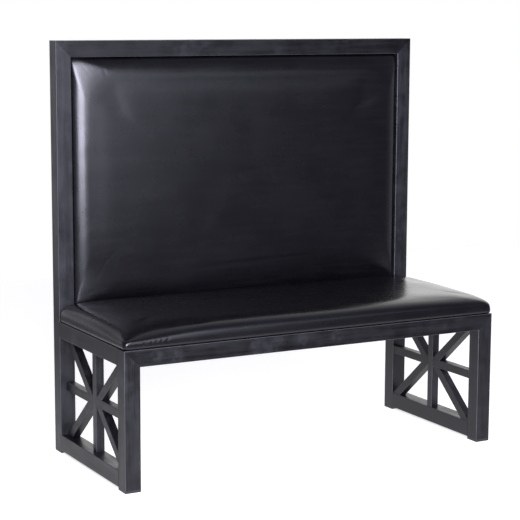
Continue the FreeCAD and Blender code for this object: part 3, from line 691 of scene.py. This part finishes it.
@dataclass(frozen=True)
class WrappedPad:
    """A board and foam wrapped in one sheet of vinyl.

    The sheet is a rectangular grid. Each ring of the grid, counted from its
    edge, is laid as a rounded rectangle: the outermost is the hem under the
    board, the next ones go round the edge and up over the roll, and the inner
    ones lie on the crown. Lengths are in metres in the pad's own plane, with
    the height measured away from the board.
    """

    half_width: float
    low_edge: float
    high_edge: float
    thickness: float
    section: PadSection
    cell: float
    fullest_corner: float = 0.98

    def sheet(self, fineness: int = 1) -> Sheet:
        """Lay the sheet.

        Each point lies on ring k, the number of grid steps to the nearest
        edge of the sheet. Along its ring it keeps its share of the side. In
        a corner it is moved from the square corner onto the arc, along the
        line from the arc's centre.

        Args:
            fineness: Grid steps to one cell.

        Returns:
            Arrays over the grid: across and up in the pad's plane, height,
            and left and low, the lengths along the sheet from those edges.
        """
        section = self.section
        length, inset, low_inset, height, corner = section.curves(self.thickness)
        rings = round(length[-1] / self.cell) * fineness
        step = length[-1] / rings
        low_flat = self.low_edge + low_inset[-1]
        high_flat = self.high_edge - section.run * section.high_share
        half_flat = (high_flat - low_flat) / 2
        inner = round(half_flat / self.cell) * fineness
        straight = 2 * round((self.half_width - section.run - half_flat) / self.cell) * fineness
        rows = 2 * (rings + inner)
        columns = rows + straight
        i, j = np.meshgrid(np.arange(columns + 1), np.arange(rows + 1), indexing="ij")
        ring = np.minimum(np.minimum(i, columns - i), np.minimum(j, rows - j))
        place = ring * length[-1] / rings
        ring_inset = np.interp(place, length, inset)
        inward = np.clip((ring - rings) / inner, 0.0, 1.0)
        half_x = self.half_width - ring_inset - inward * half_flat
        low = self.low_edge + np.interp(place, length, low_inset) + inward * half_flat
        high = self.high_edge - ring_inset * section.high_share - inward * half_flat
        radius = np.interp(place, length, corner) * (1.0 - inward)
        half_least = np.minimum(half_x, np.maximum((high - low) / 2, 0.0))
        radius = np.minimum(radius, self.fullest_corner * half_least)
        share_x = (i - ring) / (columns - 2 * ring)
        share_y = np.where(rows > 2 * ring, (j - ring) / np.maximum(rows - 2 * ring, 1), 0.5)
        across = half_x * (2.0 * share_x - 1.0)
        up = low + (high - low) * share_y
        core_x = np.clip(across, radius - half_x, half_x - radius)
        core_y = np.clip(up, low + radius, high - radius)
        off_x = across - core_x
        off_y = up - core_y
        reach = np.maximum(np.hypot(off_x, off_y), TINY)
        pull = np.where((off_x != 0) & (off_y != 0), radius / reach, 1.0)
        return {
            "across": core_x + off_x * pull,
            "up": core_y + off_y * pull,
            "height": np.interp(place, length, height),
            "left": i * step,
            "low": j * step,
        }


def smoothed(field: np.ndarray, passes: int) -> np.ndarray:
    """Smooth a grid field by the weights 1, 2, 1 in both directions.

    Args:
        field: Values over the grid, with the parts of a vector last.
        passes: How often.

    Returns:
        The smoothed field.
    """
    for _ in range(passes):
        for axis in (0, 1):
            row = np.arange(field.shape[axis])
            before, after = (np.take(field, row + step, axis=axis, mode="clip") for step in (-1, 1))
            field = (before + 2.0 * field + after) / 4.0
    return field


def spread(field: np.ndarray, shape: tuple[int, int]) -> np.ndarray:
    """Give a coarse grid field on a finer grid over the same area, in straight lines between points.

    Args:
        field: Values over the coarse grid.
        shape: Rows and columns of the fine grid.

    Returns:
        The field on the fine grid.
    """
    for axis, count in enumerate(shape):
        place = np.linspace(0.0, field.shape[axis] - 1.0, count)
        low = np.clip(place.astype(int), 0, field.shape[axis] - 2)
        share = np.expand_dims(place - low, tuple(n for n in range(field.ndim) if n != axis))
        field = np.take(field, low, axis=axis) * (1.0 - share) + np.take(field, low + 1, axis=axis) * share
    return field


def outward(points: np.ndarray) -> np.ndarray:
    """Give a sheet's unit normals over its grid: the cross product of its steps in both directions."""
    normal = np.cross(np.gradient(points, axis=0), np.gradient(points, axis=1))
    return normal / np.maximum(np.linalg.norm(normal, axis=-1, keepdims=True), TINY)


@dataclass(frozen=True)
class Ripples:
    """Smooth random waves in the vinyl: so many each way, of such a height."""

    counts: tuple[int, int]
    seed: int
    height: float
    fineness: int = 4
    passes: int = 4

    def over(self, shape: tuple[int, int]) -> np.ndarray:
        """Lay the waves: random heights on a coarse grid, smoothed on one a little finer.

        Args:
            shape: Rows and columns of the sheet's grid.

        Returns:
            The height over the sheet's grid.
        """
        coarse = np.random.default_rng(self.seed).uniform(-1.0, 1.0, self.counts)
        between = tuple(min(size, count * self.fineness) for size, count in zip(shape, self.counts))
        return self.height * spread(smoothed(spread(coarse, between), self.passes), shape)


@dataclass(frozen=True)
class Crease:
    """A fold in the vinyl: a valley between two low ridges, fading out at both ends.

    Start and end are places in the two coordinates of the sheet that it is
    drawn over.
    """

    start: Pair
    end: Pair
    width: float
    depth: float
    over: tuple[str, str] = ("across", "up")

    def height(self, sheet: Sheet) -> np.ndarray:
        """Work out the fold's height over a sheet.

        Across the fold the height is -(1 - d^2) exp(-d^2 / 2), where d is the
        distance in widths. Along it the height follows a raised cosine.

        Args:
            sheet: The sheet's arrays over its grid.

        Returns:
            The height over the grid.
        """
        first, second = (sheet[name] - start for name, start in zip(self.over, self.start))
        run = np.subtract(self.end, self.start)
        length = float(np.hypot(*run))
        share = (first * run[0] + second * run[1]) / length**2
        away = ((first * run[1] - second * run[0]) / length / self.width) ** 2
        cosine = np.cos(2.0 * math.pi * np.clip(share, 0, 1))
        fade = np.where((share > 0) & (share < 1), (1.0 - cosine) / 2.0, 0.0)
        return -self.depth * fade * (1.0 - away) * np.exp(-away / 2.0)


@dataclass(frozen=True)
class Swelling:
    """How the foam fills its cover: the sheet starts slack and air pressure lifts it.

    The lift is held back softly at the cap. Against the full form the foam
    lets no place lie lower than the least height, and a share of the movement
    sideways is kept.
    """

    pressure: float
    cap: float
    least: float = -0.0005
    sideways: float = 0.5
    frames: int = 20
    quality: int = 5
    mass: float = 0.3
    stretch_stiffness: float = 40.0
    shear_stiffness: float = 20.0
    bending_stiffness: float = 2.0

    def lift(self, points: np.ndarray, held: np.ndarray, name: str) -> np.ndarray:
        """Simulate the sheet as cloth and give how far each point moves.

        Args:
            points: The sheet's points over its grid.
            held: True where the sheet is stapled or pressed to the frame.
            name: A name for the passing object.

        Returns:
            The movement over the grid.
        """
        number = np.arange(points.size // 3).reshape(points.shape[:2])
        mesh = bpy.data.meshes.new(name)
        mesh.from_pydata(points.reshape(-1, 3).tolist(), [], grid_faces(number).tolist())
        body = placed(name, mesh)
        group = body.vertex_groups.new(name="held")
        group.add(np.flatnonzero(held.reshape(-1)).tolist(), 1.0, "REPLACE")
        cloth = body.modifiers.new("cloth", "CLOTH")
        settings = cloth.settings
        settings.quality = self.quality
        settings.mass = self.mass
        settings.tension_stiffness = self.stretch_stiffness
        settings.compression_stiffness = self.stretch_stiffness
        settings.shear_stiffness = self.shear_stiffness
        settings.bending_stiffness = self.bending_stiffness
        settings.use_pressure = True
        settings.uniform_pressure_force = self.pressure
        settings.vertex_group_mass = group.name
        settings.effector_weights.gravity = 0.0
        cloth.collision_settings.use_collision = False
        cloth.point_cache.frame_start = 1
        cloth.point_cache.frame_end = self.frames
        scene = bpy.context.scene
        for step in range(1, self.frames + 1):
            scene.frame_set(step)
        evaluated = body.evaluated_get(bpy.context.evaluated_depsgraph_get())
        moved = np.empty(points.size, np.float32)
        evaluated.data.vertices.foreach_get("co", moved)
        move = moved.reshape(points.shape).astype(float) - points
        far = np.linalg.norm(move, axis=-1, keepdims=True)
        scene.frame_set(1)
        bpy.data.objects.remove(body)
        bpy.data.meshes.remove(mesh)
        LOG.info("%s: pressure lifts it by up to %.1f mm", name, float(far.max()) / MM)
        return move * self.cap * np.tanh(far / self.cap) / np.maximum(far, TINY)


@dataclass
class Cushion(ABC):
    """A pad of board and foam in a vinyl cover that is swollen, creased and closed behind its hem.

    Below the held height the sheet can't move. Waves fade out towards the
    hem: they count by the wave gain times the share of the height, less the
    wave start.
    """

    name: str
    nodes: tuple[str, str]
    section: PadSection
    swelling: Swelling
    held_height: float
    waves: tuple[Ripples, ...]
    wave_start: float
    inside: Triple
    wave_gain: float = 3.0
    crown_start: float = 0.5
    cell: float = 0.010
    fineness: int = 3
    slack: float = 0.002
    evenness: int = 24

    @abstractmethod
    def pad(self) -> WrappedPad:
        """Give the pad's form, in the space that its solid holds."""

    @abstractmethod
    def laid(self, sheet: Sheet, slack: float = 0.0) -> np.ndarray:
        """Stand the sheet in its place, with the crown a little slack if asked."""

    @abstractmethod
    def folds(self) -> tuple[Crease, ...]:
        """Give the folds in the cover."""

    def crown(self, sheet: Sheet) -> np.ndarray:
        """Tell how far up the crown each place lies, counted from the crown's share of the height."""
        share = sheet["height"] / sheet["height"].max()
        return np.clip((share - self.crown_start) / (1.0 - self.crown_start), 0.0, 1.0)

    def relief(self, sheet: Sheet) -> np.ndarray:
        """Work out the height of the folds and waves.

        Args:
            sheet: The sheet's arrays over its grid.

        Returns:
            The height over the grid.
        """
        share = sheet["height"] / sheet["height"].max()
        free = np.clip(share * self.wave_gain - self.wave_start, 0.0, 1.0)
        waves = sum(wave.over(share.shape) for wave in self.waves)
        return waves * free + sum(crease.height(sheet) for crease in self.folds())

    def build(self) -> list[bpy.types.Object]:
        """Lay, swell and pucker the sheet, and close it behind its hem.

        Returns:
            The finished piece.
        """
        pad = self.pad()
        sheet = pad.sheet(self.fineness)
        points = self.laid(sheet)
        coarse = pad.sheet()
        slack, full = self.laid(coarse, self.slack), self.laid(coarse)
        held = coarse["height"] < self.held_height
        move = slack + self.swelling.lift(slack, held, f"{self.name}_swelling") - full
        normal = outward(full)
        out = np.sum(move * normal, axis=-1, keepdims=True)
        sideways = (move - out * normal) * self.swelling.sideways
        move = sideways + np.maximum(out, self.swelling.least) * normal
        points = points + smoothed(spread(move, points.shape[:2]), self.evenness)
        points = points + outward(points) * self.relief(sheet)[..., None]
        return [self.upholstered(points)]

    def upholstered(self, points: np.ndarray) -> bpy.types.Object:
        """Close the sheet and make it the piece that stands for the cover and its foam.

        The hem's inner edge turns inwards by the vinyl's thickness, and one
        flat face behind it closes the form.

        Args:
            points: The sheet's points over its grid.

        Returns:
            The new object.
        """
        number = np.arange(points.size // 3).reshape(points.shape[:2])
        edge = np.concatenate((number[:, 0], number[-1, 1:], number[-2::-1, -1], number[0, -2:0:-1]))
        flat = points.reshape(-1, 3)
        inner = np.arange(len(edge)) + len(flat)
        rim = np.stack((np.roll(edge, -1), edge, inner, np.roll(inner, -1)), axis=-1)
        faces = np.concatenate((grid_faces(number), rim)).tolist() + [inner[::-1].tolist()]
        corners = np.concatenate((flat, flat[edge] + np.array(self.inside)))
        mesh = bpy.data.meshes.new(self.name)
        mesh.from_pydata(corners.tolist(), [], faces)
        mesh.polygons.foreach_set("use_smooth", np.arange(len(faces)) < len(faces) - 1)
        mesh.materials.append(BlackVinyl().material())
        mesh.update()
        piece = placed(self.name, mesh)
        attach(piece, ROOT)
        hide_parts(*self.nodes)
        return piece


@dataclass
class SeatCushion(Cushion):
    """The seat pad: a crowned vinyl form whose ends and corners are drawn down to the frame.

    Sags are how far its front corners are pressed down, left and right. An
    end fold has its place, its reach and its depth. A front fold has its
    place, where it starts, its lean, where it ends, its width and its depth.
    """

    name: str = "seat_cushion"
    nodes: tuple[str, str] = ("seat_cover", "seat_foam")
    section: PadSection = PadSection(
        run=0.150,
        hem=0.040,
        draw=0.130,
        high_share=0.25,
        rises=(0.0, 0.05, 0.133, 0.3, 0.5, 0.667, 0.8, 0.9, 0.958, 0.988, 1.0),
        insets=(0.033, 0.012, 0.001, 0.0, 0.007, 0.034, 0.087, 0.173, 0.307, 0.567, 1.0),
        low_insets=(0.033, 0.012, 0.001, 0.0, 0.006, 0.032, 0.087, 0.173, 0.307, 0.567, 1.0),
        draws=(0.07, 0.08, 0.09, 0.1, 0.12, 0.18, 0.3, 0.5, 0.75, 0.95, 0.54),
    )
    swelling: Swelling = Swelling(pressure=3.0, cap=0.005)
    held_height: float = 0.026
    waves: tuple[Ripples, ...] = (Ripples((16, 8), 11, 0.00050),)
    wave_start: float = 0.6
    inside: Triple = (0.0, 0.0, 0.00122)
    sags: Pair = (0.018, 0.006)
    sag_start: float = 0.05
    sag_width: float = 0.06
    sag_reach: float = 0.16
    end_fold_start: float = 0.034
    end_fold_lean: float = 0.005
    end_fold_width: float = 0.0026
    end_folds: tuple[Triple, ...] = (
        (0.105, 0.034, 0.0006), (0.075, 0.04, 0.0008), (0.054, 0.03, 0.0005), (0.000, 0.038, 0.0006),
        (-0.024, 0.03, 0.0005), (-0.088, 0.036, 0.0007), (-0.124, 0.03, 0.0006), (-0.141, 0.026, 0.0008),
        (-0.157, 0.028, 0.0006), (-0.172, 0.024, 0.0008), (-0.19, 0.024, 0.0006), (-0.209, 0.02, 0.0008),
    )
    front_folds: tuple[Row, ...] = (
        (-0.5535, 0.066, 0.013, 0.044, 0.0024, 0.0016), (-0.545, 0.066, 0.011, 0.046, 0.002, 0.0007),
        (-0.533, 0.044, 0.009, 0.068, 0.003, 0.0007), (-0.519, 0.045, 0.011, 0.07, 0.0032, 0.0008),
        (-0.504, 0.046, 0.013, 0.072, 0.0034, 0.0006), (-0.486, 0.048, 0.015, 0.074, 0.0036, 0.0005),
        (-0.59, 0.042, 0.006, 0.058, 0.0028, 0.0006), (-0.577, 0.043, 0.005, 0.06, 0.003, 0.0005),
        (0.54, 0.046, -0.012, 0.07, 0.003, 0.0006), (0.56, 0.046, -0.01, 0.066, 0.003, 0.0007),
    )

    def pad(self) -> WrappedPad:
        """Give the pad's form, with the same section as its solid but corners drawn further down."""
        low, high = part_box("seat_cover")
        return WrappedPad((high.x - low.x) / 2, low.y, high.y, high.z - low.z, self.section, self.cell)

    def laid(self, sheet: Sheet, slack: float = 0.0) -> np.ndarray:
        """Stand the sheet on the seat frame, with the crown a little slack if asked.

        Near a front corner the pad turns inwards lower on its wall. It sinks
        there by a smooth step up the wall, from its sag start to as far from
        its top, a bell curve of the
        distance from the outline (the product of both distances from the
        corner over their root sum of squares) and one of the distance from
        the corner.

        Args:
            sheet: The sheet's arrays over its grid.
            slack: How far the crown lies below its full height.

        Returns:
            The sheet's points over its grid.
        """
        low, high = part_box("seat_cover")
        share = np.clip(sheet["height"] / (high.z - low.z), 0.0, 1.0)
        beside, behind = high.x - np.abs(sheet["across"]), sheet["up"] - low.y
        away = np.maximum(np.hypot(beside, behind), TINY)
        inset = np.maximum(beside * behind, 0.0) / away
        upper = np.clip((share - self.sag_start) / (1.0 - 2.0 * self.sag_start), 0.0, 1.0)
        sunk = np.where(sheet["across"] < 0.0, *self.sags) * upper**2 * (3.0 - 2.0 * upper)
        sunk = sunk * np.exp(-((inset / self.sag_width) ** 2) - (away / self.sag_reach) ** 2)
        top = low.z + sheet["height"] - sunk - slack * self.crown(sheet)
        return np.stack((sheet["across"], sheet["up"], top), axis=-1)

    def folds(self) -> tuple[Crease, ...]:
        """Give the folds that run up the left end and those along the front edge.

        Returns:
            The folds.
        """
        start, lean, width = self.end_fold_start, self.end_fold_lean, self.end_fold_width
        end = (
            Crease((place, start), (place - lean, start + reach), width, depth, ("up", "left"))
            for place, reach, depth in self.end_folds
        )
        front = (
            Crease((place, low), (place + lean, high), width, depth, ("across", "low"))
            for place, low, lean, high, width, depth in self.front_folds
        )
        return (*end, *front)


@dataclass
class BackCushion(Cushion):
    """The back pad: a tall crowned vinyl form let into the opening of the back frame."""

    name: str = "back_cushion"
    nodes: tuple[str, str] = ("back_cover", "back_foam")
    section: PadSection = PadSection(
        run=0.120,
        hem=0.025,
        draw=0.110,
        high_share=1.0,
        rises=(0.0, 0.05, 0.2, 0.425, 0.5, 0.596, 0.68, 0.779, 0.868, 0.932, 0.977, 0.994, 1.0),
        insets=(0.012, 0.003, 0.0, 0.002, 0.0125, 0.042, 0.083, 0.15, 0.233, 0.317, 0.417, 0.542, 1.0),
        low_insets=(0.012, 0.003, 0.0, 0.002, 0.025, 0.083, 0.217, 0.467, 0.6, 0.767, 0.958, 1.167, 1.583),
        draws=(0.073, 0.082, 0.091, 0.12, 0.17, 0.26, 0.36, 0.5, 0.64, 0.76, 0.88, 0.95, 0.9),
    )
    swelling: Swelling = Swelling(pressure=2.0, cap=0.004)
    held_height: float = 0.028
    waves: tuple[Ripples, ...] = (Ripples((9, 20), 21, 0.00035), Ripples((5, 64), 22, 0.00006))
    wave_start: float = 1.0
    inside: Triple = (0.0, -0.00122, 0.0)
    creases: tuple[Crease, ...] = (
        Crease((-0.536, 1.152), (-0.497, 1.112), 0.0036, 0.00022),
        Crease((-0.470, 1.150), (-0.452, 1.104), 0.0050, 0.00020),
        Crease((0.535, 1.155), (0.505, 1.120), 0.0034, 0.00025),
        Crease((-0.290, 0.528), (0.445, 0.552), 0.0070, 0.00040),
        Crease((-0.522, 0.936), (-0.490, 0.974), 0.0016, 0.00012),
    )

    def pad(self) -> WrappedPad:
        """Give the pad's form, with the same section as its solid but fuller corners."""
        low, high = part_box("back_cover")
        return WrappedPad((high.x - low.x) / 2, low.z, high.z, high.y - low.y, self.section, self.cell)

    def laid(self, sheet: Sheet, slack: float = 0.0) -> np.ndarray:
        """Stand the sheet in the back frame, with the crown a little slack if asked."""
        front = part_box("back_cover")[1].y - sheet["height"] + slack * self.crown(sheet)
        return np.stack((sheet["across"], front, sheet["up"]), axis=-1)

    def folds(self) -> tuple[Crease, ...]:
        """Give the folds at the upper corners and low on the pad."""
        return self.creases


@dataclass
class DressedFrame:
    """The frame's nodes and the hidden pieces, each given its finish."""

    diagonal_angle: float = math.radians(40.04)
    # Painted light and shade: how much lighter or darker each kind of tube's coating is painted, uprights
    # lightest and rails darkest.
    upright_shade: float = 1.15
    leg_shade: float = 0.9
    side_shade: float = 0.9
    rail_shade: float = 0.55

    def coating(self, node: str) -> CoatedSteel:
        """Choose the coating whose streaks follow a tube, painted lighter or darker for its kind of tube.

        Args:
            node: The tube's node name.

        Returns:
            The coating.
        """
        if "diagonal" in node:
            rising = ("rear" in node) == ("top" in node)
            tilt = -self.diagonal_angle if rising else self.diagonal_angle
            return CoatedSteel(Run.ALONG_Y, self.side_shade, tilt)
        if any(word in node for word in ("side_rail", "bearer", "arm")):
            return CoatedSteel(Run.ALONG_Y, self.side_shade)
        if "rail" in node:
            return CoatedSteel(Run.ALONG_X, self.rail_shade)
        return CoatedSteel(Run.ALONG_Z, self.leg_shade if "front_leg" in node else self.upright_shade)

    def finish(self, node: str) -> CoatedSteel | BlackVinyl | PlainFinish:
        """Choose a node's finish by the first of these words in its name, or else the coating.

        Args:
            node: The node's name.

        Returns:
            The finish.
        """
        finishes = {
            "foot_glide": GLIDE_PLASTIC,
            "board": PLYWOOD,
            "foam": CUT_FOAM,
            "bolts": ZINC,
            "tee_nuts": ZINC,
            "dust_cover": DUST_CLOTH,
            "grip_pads": GRIP_PAD,
            "outer_panel": BlackVinyl(),
            "cover": BlackVinyl(),
        }
        return next((finish for word, finish in finishes.items() if word in node), self.coating(node))

    def build(self) -> list[bpy.types.Object]:
        """Dress every node.

        Returns:
            The nodes.
        """
        for name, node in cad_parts.items():
            node.data.materials.clear()
            node.data.materials.append(self.finish(name).material())
        return list(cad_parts.values())


def report(piece: bpy.types.Object) -> None:
    """Log a piece, with its faces and its finish if it is a mesh.

    Args:
        piece: The piece.
    """
    if piece.type == "MESH":
        mesh = piece.data
        LOG.info("%s: %d faces, %s", piece.name, len(mesh.polygons), mesh.materials[0].name)
    else:
        LOG.info("%s: %s", piece.name, piece.type.lower())


def main() -> None:
    """Build the studio and the bench in order, and report each piece."""
    logging.basicConfig(level=logging.INFO, format="%(message)s")
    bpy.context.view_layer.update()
    for part in (PhotoCamera(), Studio(), DressedFrame(), SeatCushion(), BackCushion()):
        for piece in part.build():
            report(piece)


if __name__ == "__main__":
    main()
